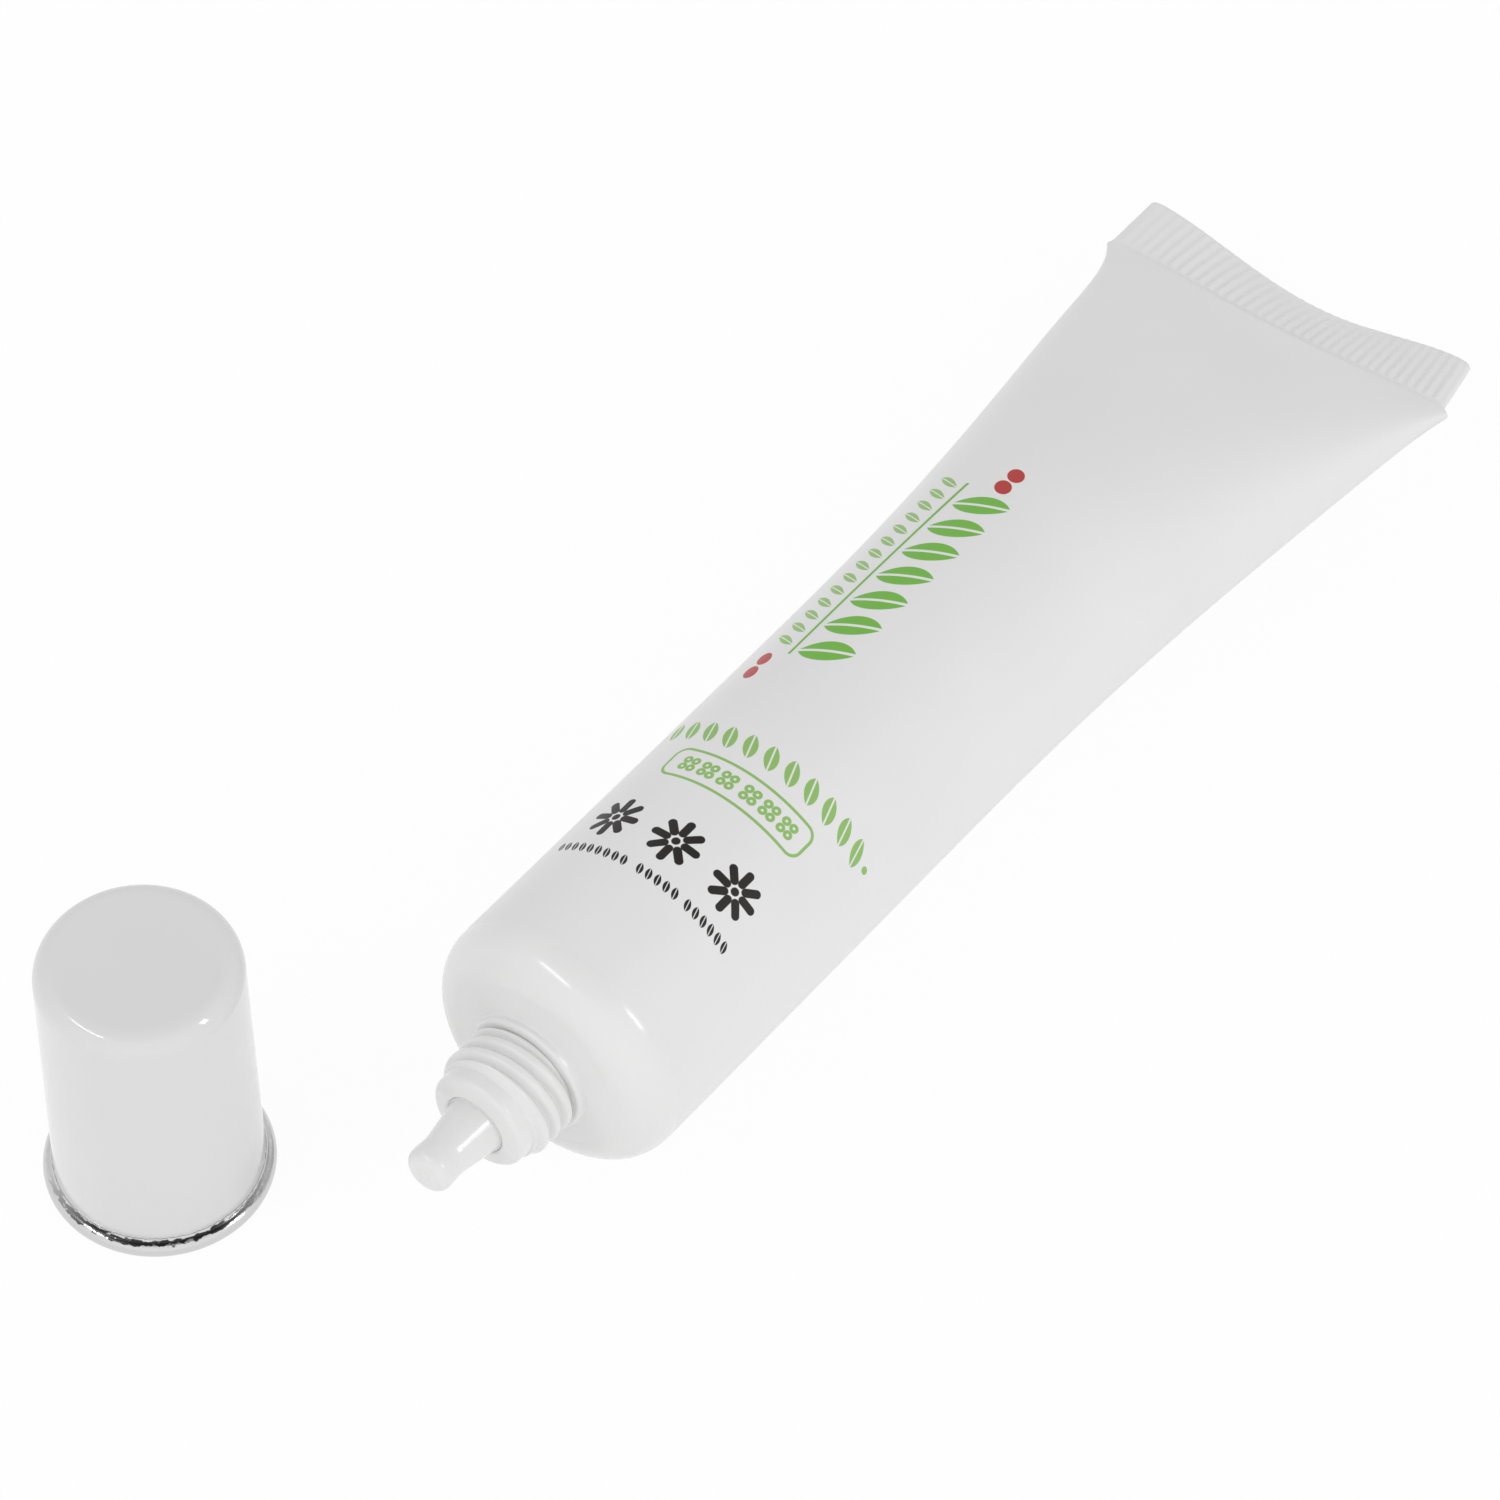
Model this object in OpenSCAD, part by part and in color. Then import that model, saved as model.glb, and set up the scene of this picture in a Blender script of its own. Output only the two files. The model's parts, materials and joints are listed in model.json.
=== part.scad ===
// Filled squeeze tube of skin cream, lying down, with its screw cap stood beside the nozzle.
// +Z is up from the table, +X runs from the nozzle to the crimped tail.

/* [Sleeve] */
// Outside diameter of the round sleeve
tube_d = 22; // [18:0.5:28]
// Length of the sleeve from the shoulder to the crimped fin
sleeve_len = 94.2; // [80:0.1:120]
// Length that stays round behind the shoulder
round_len = 36; // [15:1:50]
// Fullness of the taper: 1 is a straight wedge, more is rounder
taper_fullness = 2.5; // [1.2:0.05:3]
// Thickness of the pressed sleeve where it meets the fin
fold_t = 1.5; // [1:0.1:2.4]
// Depth to which the sides draw in behind the fold
pinch = 0.9; // [0:0.1:1.4]
// Distance from the fold to where they draw in most
pinch_run = 4.5; // [2:0.5:8]

/* [Crimped fin] */
// Length of the fin along the tube
fin_len = 6.4; // [4:0.1:10]
// Width that the crimping jaws trim off each side of the fin
fin_trim = 0.6; // [0.1:0.05:0.8]
// Further width lost at one end of the free edge, where the trim runs askew
fin_askew = 1; // [0:0.1:1.5]
// Thickness of the two welded walls
fin_t = 0.9; // [0.6:0.05:1.4]
// Number of ribs pressed into each face
rib_count = 34; // [20:1:36]
// Height of a rib
rib_h = 0.16; // [0.08:0.01:0.3]
// Plain band between the fold and the ribs
rib_start = 0.6; // [0.5:0.1:1.5]
// Plain edge behind the ribs
rib_end = 0.3; // [0.2:0.1:1]
// Rise of the flat fin above the axis of the round end
fin_lift = 0.6; // [0:0.1:1.5]
// Depth of the fin's trough at its free edge
fin_sag = 2.9; // [0:0.1:4]
// Length of sleeve in front of the fin that shares the trough
sag_run = 9; // [5:1:25]

/* [Head] */
// Radius of the rounded shoulder edge
shoulder_r = 3.7; // [2:0.1:5]
// Rise of the shoulder's cone up to the base ring
shoulder_rise = 0.4; // [0.1:0.1:1]
// Diameter of the ring at the root of the neck
ring_d = 10.5; // [10.2:0.1:12]
// Height of that ring
ring_h = 0.7; // [0.5:0.1:1.2]
// Core diameter of the neck between the threads
neck_d = 8.8; // [8:0.1:9.4]
// Length of the threaded stretch
thread_len = 4.4; // [3:0.1:7]
// Height of the thread above the core
thread_h = 0.55; // [0.3:0.05:0.7]
// Advance of one turn of the thread
thread_lead = 2.8; // [2:0.1:4]
// Number of thread starts
thread_starts = 2; // [1:1:2]
// Diameter of the smooth front land
land_d = 8.5; // [7.6:0.1:8.6]
// Length of the smooth front land
land_len = 1.7; // [1.2:0.1:3]
// Radius of the land's rounded lip
land_edge_r = 0.5; // [0.2:0.1:0.8]

/* [Nozzle] */
// Diameter at the nozzle's foot
nozzle_foot_d = 4.9; // [4.2:0.1:5.4]
// Diameter at the waist behind the tip
nozzle_waist_d = 3.7; // [3:0.1:3.9]
// Diameter of the rounded tip
nozzle_tip_d = 3.9; // [3.4:0.1:4.4]
// Length of the nozzle in front of the land
nozzle_len = 6; // [4:0.1:9]
// Width of the groove around the nozzle's foot
moat_w = 0.2; // [0.1:0.05:0.6]
// Depth of that groove
moat_depth = 0.3; // [0.2:0.1:0.8]

/* [Cap] */
// Height of the cap
cap_h = 26.7; // [22:0.1:34]
// Outside diameter above the rim bead
cap_foot_d = 16.4; // [15.4:0.1:18]
// Outside diameter at the top, before the edge is rounded
cap_top_d = 15.9; // [14.8:0.1:17.5]
// Radius of the rounded top edge
cap_edge_r = 1.8; // [1:0.1:3]
// Radius of the bead round the open rim
bead_r = 0.75; // [0.5:0.05:0.9]
// Thickness of the outer wall and the roof
cap_wall = 1; // [0.8:0.1:1.3]
// Wall of the inner threaded socket
socket_wall = 0.9; // [0.7:0.1:1.1]
// Gap between the neck's thread and the socket's bore
thread_gap = 0.15; // [0.1:0.05:0.3]
// How far the socket's mouth stands back from the rim
socket_setback = 0.6; // [0.3:0.1:1.5]
// Gap left all round the nozzle in its chamber
nozzle_gap = 0.7; // [0.6:0.1:1]

/* [Foil] */
// Height of the silver foil above the table
foil_top = 1.9; // [1.7:0.1:3]
// Thickness of the foil
foil_t = 0.05; // [0.03:0.01:0.1]

/* [Resting pose] */
// Slope of the tube's axis, tail down
tilt = 2.6; // [0:0.1:4]
// Roll of the tube about its axis
roll = -3.8; // [-8:0.1:8]
// Distance from the shoulder edge to the cap's centre, along the tube
cap_ahead = 21.5; // [18:0.5:40]
// Distance from the tube's axis to the cap's centre, to the side
cap_aside = 23; // [22:0.5:40]

/* [Hidden] */

tube_r = tube_d / 2;
sleeve_girth = PI * tube_d;

// Plain share of a rib's step at each end of the row of ribs
rib_margin = 0.5;
// Steps across one pressed face, and points round the sleeve
face_steps = rib_count + 2 * rib_margin;
ring_n = 2 * face_steps;
// Points that shape one rib
rib_points = 4;
fin_n = ring_n * rib_points;
// Length over which a rib rises from the plain band, and what is left of it at the free edge
rib_ramp = 0.9;
rib_worn = 0.4;
// Stations along the taper, and passes that settle a station's width
taper_steps = 20;
girth_passes = 6;

neck_z = shoulder_r + shoulder_rise + ring_h;
land_z = neck_z + thread_len;
front_z = land_z + land_len;
tip_z = front_z + nozzle_len;
crest_r = neck_d / 2 + thread_h;
thread_pitch = thread_lead / thread_starts;
// Facets round the thread and along it
thread_n = 64;
thread_rings = 26;
// Stretch over which the thread runs out at each end
thread_fade = 0.7;
ring_edge_r = 0.35;
tip_edge_r = 0.65;
// Distances of the waist and of the widest place behind the tip
waist_back = 2.3;
bulge_back = 1.1;

bore_r = crest_r + thread_gap;
chamber_r = nozzle_foot_d / 2 + nozzle_gap;
socket_r = bore_r + socket_wall;
// Depth at which the socket steps in to seat on the neck's front
seat_z = front_z - shoulder_r - shoulder_rise + thread_gap;
cap_foot_r = cap_foot_d / 2;
cap_top_r = cap_top_d / 2;
// Length that a cut runs past the face it opens
cut = 1;

$fn = 96;

// Share of the taper that lies behind a station
function taper(s) = max(0, (s - round_len) / (sleeve_len - round_len));

// Half thickness of the sleeve at a station
function half_t(s) = tube_r - (tube_r - fold_t / 2) * pow(taper(s), taper_fullness);

function wave(k, n) = 1 - 4 * min(k, n - k) / n;

// Point k of n round an ellipse a by b: even is 0 for even angles, 1 for even steps across
function ring_point(k, n, a, b, even) =
    let (c = (1 - even) * cos(360 * k / n) + even * wave(k, n))
    let (side = k <= n / 2 ? 1 : -1)
    [a * c, side * b * sqrt(max(0, 1 - c * c))];

function ring(s, a) = [for (k = [0 : ring_n - 1]) ring_point(k, ring_n, a, half_t(s), pow(taper(s), 3))];

function girth(r) = [for (k = [0 : len(r) - 1]) norm(r[(k + 1) % len(r)] - r[k])] * [for (p = r) 1];

// Half width at which a station keeps the girth of the round tube
function half_w(s, a, passes) =
    passes == 0 ? a : half_w(s, a * sleeve_girth / girth(ring(s, a)), passes - 1);

fin_half_w = half_w(sleeve_len, tube_r, girth_passes) - fin_trim;

// Height of the sleeve's middle plane, at a share u of the half width
function mid_z(u, s) =
    let (lift = fin_lift * pow(min(1, s / sleeve_len), 3))
    let (t = max(0, (s - sleeve_len + sag_run) / (sag_run + fin_len)))
    lift - fin_sag * pow(1 - u * u, 2) * pow(t, 3);

// How far each side draws in at a station
function draw_in(s) =
    let (d = (sleeve_len - s) / pinch_run)
    pinch * d * exp(1 - d);

function body_ring(s) =
    let (a = half_w(s, tube_r, girth_passes) - draw_in(s) * taper(s))
    [for (p = ring(s, a)) [s, p[0], p[1] + mid_z(p[0] / a, s)]];

// Height of the ribs at point k of the fin's outline
function rib(k) =
    let (steps = min(k, fin_n - k) / rib_points - rib_margin)
    steps < 0 || steps > rib_count ? 0 : rib_h * pow(sin(180 * steps), 2);

// Outline of the fin behind the fold: share scales the ribs
function fin_ring(behind, share) = [
    for (k = [0 : fin_n - 1])
        let (u = wave(k, fin_n))
        let (side = k == 0 || k == fin_n / 2 ? 0 : (k < fin_n / 2 ? 1 : -1))
        let (s = sleeve_len + behind)
        let (half = fin_half_w - (u < 0 ? fin_askew * behind / fin_len : 0))
        [s, u * half, side * (fin_t / 2 + share * rib(k)) + mid_z(u, s)]
];

taper_s = [for (i = [0 : taper_steps]) round_len + (sleeve_len - round_len) * sin(90 * i / taper_steps)];
body_rings = concat([body_ring(0), body_ring(round_len / 2)], [for (s = taper_s) body_ring(s)]);
fin_rings = [
    fin_ring(rib_start, 0),
    fin_ring(rib_start + rib_ramp / 2, 0.8),
    fin_ring(rib_start + rib_ramp, 1),
    fin_ring((fin_len + rib_start + rib_ramp) / 2, 1),
    fin_ring(fin_len - rib_end, 1),
    fin_ring(fin_len, rib_worn)
];

// Where a point of the tube's own axes comes to lie
function laid(p) =
    let (y = p[1] * cos(roll) - p[2] * sin(roll))
    let (z = p[1] * sin(roll) + p[2] * cos(roll))
    [p[0] * cos(tilt) + z * sin(tilt), y, z * cos(tilt) - p[0] * sin(tilt)];

laid_points = [for (r = concat(body_rings, fin_rings)) for (p = r) laid(p)];
laid_x = [for (p = laid_points) p[0]];
laid_y = [for (p = laid_points) p[1]];
laid_z = [for (p = laid_points) p[2]];
rim_r = cap_foot_r + bead_r + foil_t;
shoulder_x = (cap_ahead + rim_r - max(laid_x)) / 2;
shoulder_y = -(min(laid_y) + cap_aside + rim_r) / 2;

module along_tube() {
    translate([shoulder_x, shoulder_y, -min(laid_z)])
        rotate([0, tilt, 0])
            rotate([roll, 0, 0])
                children();
}

module at_cap() {
    translate([shoulder_x - cap_ahead, shoulder_y + cap_aside, 0])
        children();
}

// Faces between two rings of n points that start at a and b, clockwise as seen from outside
function band(a, b, n) = [
    for (k = [0 : n - 1])
        let (m = (k + 1) % n)
        each [[a + k, b + m, a + m], [a + k, b + k, b + m]]
];

// Faces between a ring of n points and one with split times as many
function widening(a, b, n, split) = [
    for (k = [0 : n - 1])
        let (m = (k + 1) % n)
        each concat(
            [[a + k, b + m * split, a + m]],
            [for (j = [0 : split - 1]) [a + k, b + k * split + j, b + (k * split + j + 1) % (n * split)]]
        )
];

// Faces that close the fin's free edge, strip by strip
function edge_strip(a, n) = [
    for (k = [0 : n / 2 - 1])
        each [
            [a + k, a + n - k - 1, a + k + 1],
            if (k > 0) [a + k, a + n - k, a + n - k - 1]
        ]
];

// Round sleeve drawn out to a flat, ribbed and slightly troughed fin
module sleeve_loft() {
    body_count = len(body_rings);
    fin_at = body_count * ring_n;
    last = fin_at + (len(fin_rings) - 1) * fin_n;
    polyhedron(
        points = [for (r = concat(body_rings, fin_rings)) for (p = r) p],
        faces = concat(
            [[for (k = [0 : ring_n - 1]) k]],
            [for (i = [0 : body_count - 2]) each band(i * ring_n, (i + 1) * ring_n, ring_n)],
            widening((body_count - 1) * ring_n, fin_at, ring_n, rib_points),
            [for (i = [0 : len(fin_rings) - 2]) each band(fin_at + i * fin_n, fin_at + (i + 1) * fin_n, fin_n)],
            edge_strip(last, fin_n)
        ),
        convexity = 4
    );
}

module tube_sleeve() {
    color("whitesmoke")
        along_tube()
            sleeve_loft();
}

// Share of the thread's height at a distance along the threaded stretch
function run_out(z) = max(0, min(1, z / thread_fade, (thread_len - z) / thread_fade));

// Rounded right-handed thread with narrow grooves
function thread_lift(a, z) = 1 - pow(sin(180 * (z / thread_pitch - thread_starts * a / 360)), 4);

module neck_thread() {
    polyhedron(
        points = [
            for (i = [0 : thread_rings])
                let (z = thread_len * i / thread_rings)
                for (k = [0 : thread_n - 1])
                    let (a = 360 * k / thread_n)
                    let (r = neck_d / 2 + thread_h * thread_lift(a, z) * run_out(z))
                    [r * cos(a), r * sin(a), neck_z + z]
        ],
        faces = concat(
            [[for (k = [0 : thread_n - 1]) k]],
            [for (i = [0 : thread_rings - 1]) each band(i * thread_n, (i + 1) * thread_n, thread_n)],
            [[for (k = [1 : thread_n]) (thread_rings + 1) * thread_n - k]]
        ),
        convexity = 4
    );
}

// Half section of a disc with its outer front corner rounded
module round_step(r, z0, z1, edge) {
    translate([0, z0])
        square([r, z1 - z0 - edge]);
    translate([0, z0])
        square([r - edge, z1 - z0]);
    translate([r - edge, z1 - edge])
        circle(edge);
}

module shoulder_section() {
    square([tube_r - shoulder_r, shoulder_r]);
    intersection() {
        translate([tube_r - shoulder_r, 0])
            circle(shoulder_r);
        square([tube_r, shoulder_r]);
    }
    polygon([
        [0, shoulder_r],
        [tube_r - shoulder_r, shoulder_r],
        [ring_d / 2, shoulder_r + shoulder_rise],
        [0, shoulder_r + shoulder_rise]
    ]);
    round_step(ring_d / 2, shoulder_r, neck_z, ring_edge_r);
}

module nozzle_section() {
    polygon([
        [0, front_z - moat_depth],
        [nozzle_foot_d / 2, front_z - moat_depth],
        [nozzle_waist_d / 2, tip_z - waist_back],
        [nozzle_tip_d / 2, tip_z - bulge_back],
        [nozzle_tip_d / 2, tip_z - tip_edge_r],
        [0, tip_z - tip_edge_r]
    ]);
    translate([nozzle_tip_d / 2 - tip_edge_r, tip_z - tip_edge_r])
        intersection() {
            circle(tip_edge_r);
            square(tip_edge_r);
        }
    square([nozzle_tip_d / 2 - tip_edge_r, tip_z]);
}

module front_section() {
    difference() {
        round_step(land_d / 2, land_z, front_z, land_edge_r);
        translate([nozzle_foot_d / 2 - moat_w, front_z - moat_depth])
            square([2 * moat_w, moat_depth + cut]);
    }
}

module tube_head() {
    color("white")
        along_tube()
            rotate([0, -90, 0]) {
                rotate_extrude()
                    intersection() {
                        union() {
                            shoulder_section();
                            front_section();
                            nozzle_section();
                        }
                        square([tube_r, tip_z]);
                    }
                neck_thread();
            }
}

// Outer form of the cap: beaded rim, slight draft, rounded top edge
module cap_form() {
    centre_r = cap_top_r - cap_edge_r;
    polygon([
        [0, 0],
        [cap_foot_r, 0],
        [cap_foot_r, foil_top],
        [cap_top_r, cap_h - cap_edge_r],
        [0, cap_h - cap_edge_r]
    ]);
    square([centre_r, cap_h]);
    translate([centre_r, cap_h - cap_edge_r])
        circle(cap_edge_r);
    translate([cap_foot_r, bead_r])
        circle(bead_r);
}

// Space between the outer wall and the stepped socket tower
module cap_space() {
    roof_z = cap_h - cap_wall - cap_edge_r;
    tower_r = chamber_r + socket_wall;
    polygon([
        [socket_r, -cut],
        [cap_foot_r - cap_wall, -cut],
        [cap_foot_r - cap_wall, foil_top],
        [cap_top_r - cap_wall, roof_z],
        [tower_r, roof_z],
        [tower_r, seat_z + socket_wall],
        [socket_r, seat_z + socket_wall]
    ]);
    square([socket_r + cut, socket_setback]);
}

module cap() {
    color("white")
        at_cap()
            rotate_extrude()
                difference() {
                    intersection() {
                        cap_form();
                        square([cap_foot_r + bead_r, cap_h]);
                    }
                    cap_space();
                    translate([0, -cut])
                        square([bore_r, seat_z + cut]);
                    square([chamber_r, cap_h - cap_wall]);
                }
}

// Foil pressed on the bead and a little way up the wall
module foil_band() {
    color("silver")
        at_cap()
            rotate_extrude()
                difference() {
                    intersection() {
                        union() {
                            translate([cap_foot_r, bead_r])
                                circle(bead_r + foil_t);
                            square([cap_foot_r + foil_t, foil_top]);
                        }
                        translate([cap_foot_r, bead_r / 2])
                            square([bead_r + foil_t, foil_top - bead_r / 2]);
                    }
                    translate([cap_foot_r, bead_r])
                        circle(bead_r);
                }
}

tube_sleeve();
tube_head();
cap();
foil_band();
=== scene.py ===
"""Squeeze tube of skin cream with its screw cap: the finish of every piece, round the solids."""

import json
import math

import bmesh
import bpy
from bpy.props import FloatProperty, FloatVectorProperty, IntProperty, PointerProperty
from mathutils import Matrix, Vector, noise


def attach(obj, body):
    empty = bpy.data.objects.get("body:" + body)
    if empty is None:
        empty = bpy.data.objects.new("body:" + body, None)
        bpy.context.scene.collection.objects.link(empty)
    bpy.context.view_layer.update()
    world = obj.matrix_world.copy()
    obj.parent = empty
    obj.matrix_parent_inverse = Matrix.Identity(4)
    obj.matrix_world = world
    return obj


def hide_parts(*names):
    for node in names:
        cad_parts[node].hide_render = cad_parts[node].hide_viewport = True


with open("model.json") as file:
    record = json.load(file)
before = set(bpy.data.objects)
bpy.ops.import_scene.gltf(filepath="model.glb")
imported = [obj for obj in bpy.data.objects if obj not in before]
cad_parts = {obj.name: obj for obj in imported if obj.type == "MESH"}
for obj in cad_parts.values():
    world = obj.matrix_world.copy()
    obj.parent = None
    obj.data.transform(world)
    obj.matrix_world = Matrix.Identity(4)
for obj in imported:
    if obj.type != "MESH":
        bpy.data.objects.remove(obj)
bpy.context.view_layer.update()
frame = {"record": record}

bl_info = {
    "name": "Cream tube",
    "version": (1, 0, 0),
    "blender": (4, 5, 0),
    "location": "3D View > Sidebar > Cream tube",
    "description": "Builds a filled cream tube and its screw cap round the packed solids",
    "category": "Object",
}

MM = 0.001

# Points across one rib, and round a turned piece
RIB_POINTS = 8
TURN_STEPS = 192
# Corners sharper than this stay crisp
SHARP_ANGLE = math.radians(50)
# Length over which the ribs rise behind the fold, and over which they run out, part of it past
# the free edge
RIB_RISE = 0.5 * MM
RIB_END = 0.8 * MM
RIB_PAST = 0.3 * MM
# Lengths over which the fin's sides round off and its edge thins
SIDE_ROUND = 0.4 * MM
EDGE_THIN = 0.25 * MM
# Length over which a thread fades in and out, on the neck and in the socket
NECK_FADE = 0.5 * MM
SOCKET_FADE = 0.6 * MM
# Points nearer than this to a turned wall lie on it
ON_WALL = 0.01 * MM
# Heights where the painted dark reflection on the foil, a ragged line, begins, is full, begins to
# end and has ended
STREAK = (1.36 * MM, 1.42 * MM, 1.62 * MM, 1.70 * MM)
# Width over which a printed edge changes from bare to full ink
INK_EDGE = 0.05 * MM
# Each strip lamp: turn from the camera's side and elevation in degrees; distance, width, height
LAMPS = {
    "lamp_left": (-62, 49, 0.7, 0.34, 0.035),
    "lamp_right": (64, 36, 0.7, 0.06, 0.22),
}


def mount(name):
    """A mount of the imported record."""
    return next(m for m in frame["record"]["mounts"] if m["name"] == name)


def length(name, description, default):
    """A size in metres that a user may change."""
    return FloatProperty(
        name=name, description=description, default=default, min=0, precision=5, subtype="DISTANCE"
    )


def number(name, description, default):
    """A plain number that a user may change."""
    return FloatProperty(name=name, description=description, default=default, min=0)


def amount(name, description, default):
    """A whole number of equal things that a user may change."""
    return IntProperty(name=name, description=description, default=default, min=1)


def degrees(name, description, default):
    """An angle that a user may change; its default is in degrees."""
    radians = math.radians(default)
    return FloatProperty(name=name, description=description, default=radians, subtype="ANGLE")


def colour(name, description, default):
    """A linear colour that a user may change."""
    return FloatVectorProperty(
        name=name, description=description, default=default, size=3, min=0, max=1, subtype="COLOR"
    )


class SleeveSizes(bpy.types.PropertyGroup):
    """Sizes of the printed sleeve and its crimped fin"""

    diameter: length("Diameter", "Outside diameter of the round end", 21.97 * MM)
    length: length("Length", "From the shoulder to the fold in front of the fin", 94.2 * MM)
    round_length: length("Round length", "Length that stays round behind the shoulder", 36 * MM)
    fullness: number("Fullness", "One is a straight wedge, more is rounder", 2.5)
    fold: length("Fold", "Thickness where the sleeve meets the fin", 1.5 * MM)
    fold_stretch: number("Fold stretch", "Share of width gained at the fold", 0.009)
    pinch: length("Pinch", "Depth to which the sides draw in behind the fold", 0.9 * MM)
    pinch_near: length("Near pinch", "The same on the camera's side", 0.3 * MM)
    pinch_run: length("Pinch run", "Distance from the fold to where they draw in most", 4.5 * MM)
    fin_length: length("Fin length", "Length of the fin along the tube", 6.4 * MM)
    fin_trim: length("Fin trim", "Width trimmed off the fin on its askew side", 0.6 * MM)
    fin_trim_far: length("Far fin trim", "Width trimmed off its other side", 0.2 * MM)
    fin_askew: length("Fin askew", "Further width lost on the askew side at the free edge", 1 * MM)
    fin_slant: length("Fin slant", "Length lost at that end of the free edge", 0.5 * MM)
    fin_thickness: length("Fin thickness", "Thickness of the two welded walls", 0.9 * MM)
    fin_corner: length("Fin corner", "Radius of the free edge's two corners", 0.4 * MM)
    fin_lift: length("Fin lift", "Rise of the fin above the axis of the round end", 0.6 * MM)
    fin_sag: length("Fin sag", "Depth of the trough at the free edge", 2.9 * MM)
    sag_run: length("Sag run", "Length of sleeve in front of the fin that sags too", 9 * MM)
    ribs: amount("Ribs", "Ribs pressed into each face of the fin", 34)
    rib_height: length("Rib height", "Height of a rib", 0.23 * MM)
    rib_start: length("Rib start", "Plain band between the fold and the ribs", 0.6 * MM)
    roll: degrees("Roll", "Turn of the lying tube about its axis", -3.8)


class HeadSizes(bpy.types.PropertyGroup):
    """Sizes of the moulded shoulder, neck and nozzle"""

    shoulder_radius: length("Shoulder radius", "Radius of the rounded shoulder edge", 3.7 * MM)
    shoulder_rise: length("Shoulder rise", "Rise of its cone up to the base ring", 0.4 * MM)
    ring_diameter: length("Ring diameter", "Of the ring at the root of the neck", 10.5 * MM)
    ring_height: length("Ring height", "Height of that ring", 0.7 * MM)
    neck_diameter: length("Neck diameter", "Core of the neck between the threads", 8.8 * MM)
    thread_length: length("Thread length", "Length of the threaded stretch", 4.4 * MM)
    thread_height: length("Thread height", "Height of the thread above the core", 0.55 * MM)
    thread_pitch: length("Thread pitch", "Distance between neighbouring grooves", 1.4 * MM)
    thread_starts: amount("Thread starts", "Threads that run side by side", 2)
    land_diameter: length("Land diameter", "Diameter of the smooth front land", 8.5 * MM)
    land_length: length("Land length", "Length of the smooth front land", 1.7 * MM)
    land_edge: length("Land edge", "Radius of the land's rounded lip", 0.5 * MM)
    land_slope: length("Land slope", "Fall of the land's face from nozzle to lip", 0.25 * MM)
    nozzle_foot: length("Nozzle foot", "Diameter at the nozzle's foot", 4.9 * MM)
    nozzle_waist: length("Nozzle waist", "Diameter at the waist behind the tip", 3.7 * MM)
    nozzle_tip: length("Nozzle tip", "Diameter of the rounded tip", 3.9 * MM)
    nozzle_length: length("Nozzle length", "Length of the nozzle in front of the land", 6 * MM)
    moat_width: length("Moat width", "Width of the groove round the nozzle's foot", 0.12 * MM)
    moat_depth: length("Moat depth", "Depth of that groove", 0.06 * MM)
    gate_radius: length("Gate radius", "Radius of the moulding mark on the tip", 0.5 * MM)
    gate_height: length("Gate height", "Depth of the ring round that mark", 0.1 * MM)


class CapSizes(bpy.types.PropertyGroup):
    """Sizes of the screw cap and the foil on its rim"""

    height: length("Height", "Height of the cap", 26.7 * MM)
    foot_diameter: length("Foot diameter", "Outside diameter above the rim bead", 16.4 * MM)
    top_diameter: length("Top diameter", "Outside diameter below the rounded edge", 15.9 * MM)
    edge: length("Edge", "Radius of the rounded top edge", 1.9 * MM)
    crown: length("Crown", "Fall of the top face from its middle to that edge", 0.15 * MM)
    bead: length("Bead", "Radius of the bead round the open rim", 0.75 * MM)
    wall: length("Wall", "Thickness of the outer wall and the roof", 1 * MM)
    socket_wall: length("Socket wall", "Wall of the threaded socket", 0.9 * MM)
    socket_setback: length("Socket setback", "How far the socket's mouth stands back", 0.6 * MM)
    chamber: length("Chamber", "Radius of the space round the nozzle", 3.15 * MM)
    ridge: length("Ridge", "Height of the socket's thread", 0.4 * MM)
    foil_height: length("Foil height", "Height of the foil's torn upper edge", 1.9 * MM)
    foil: length("Foil", "Thickness of the foil", 0.045 * MM)
    foil_tear: length("Foil tear", "Depth of the tears along the upper edge", 0.16 * MM)
    foil_fillet: length("Foil fillet", "Radius from the bead to the wall", 0.45 * MM)
    # Side towards which the painted dark reflection on the foil is strongest
    dark_reflection_side: degrees("Streak side", "Side on which the foil is worn dark", -52.5)


class FinishColours(bpy.types.PropertyGroup):
    """Colours of the plastics, the inks and the foil"""

    film: colour("Film", "White of the sleeve", (0.785, 0.785, 0.785))
    moulding: colour("Moulding", "White of the head", (0.785, 0.787, 0.783))
    cap: colour("Cap", "White of the cap", (0.715, 0.715, 0.715))
    green: colour("Green ink", "Green of the print", (0.17, 0.46, 0.06))
    pale_green: colour("Pale green ink", "Green of the finer marks", (0.27, 0.50, 0.14))
    red: colour("Red ink", "Red of the print", (0.46, 0.04, 0.035))
    black: colour("Black ink", "Black of the print", (0.016, 0.012, 0.012))
    foil: colour("Foil", "Bright silver", (0.64, 0.64, 0.64))


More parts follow.
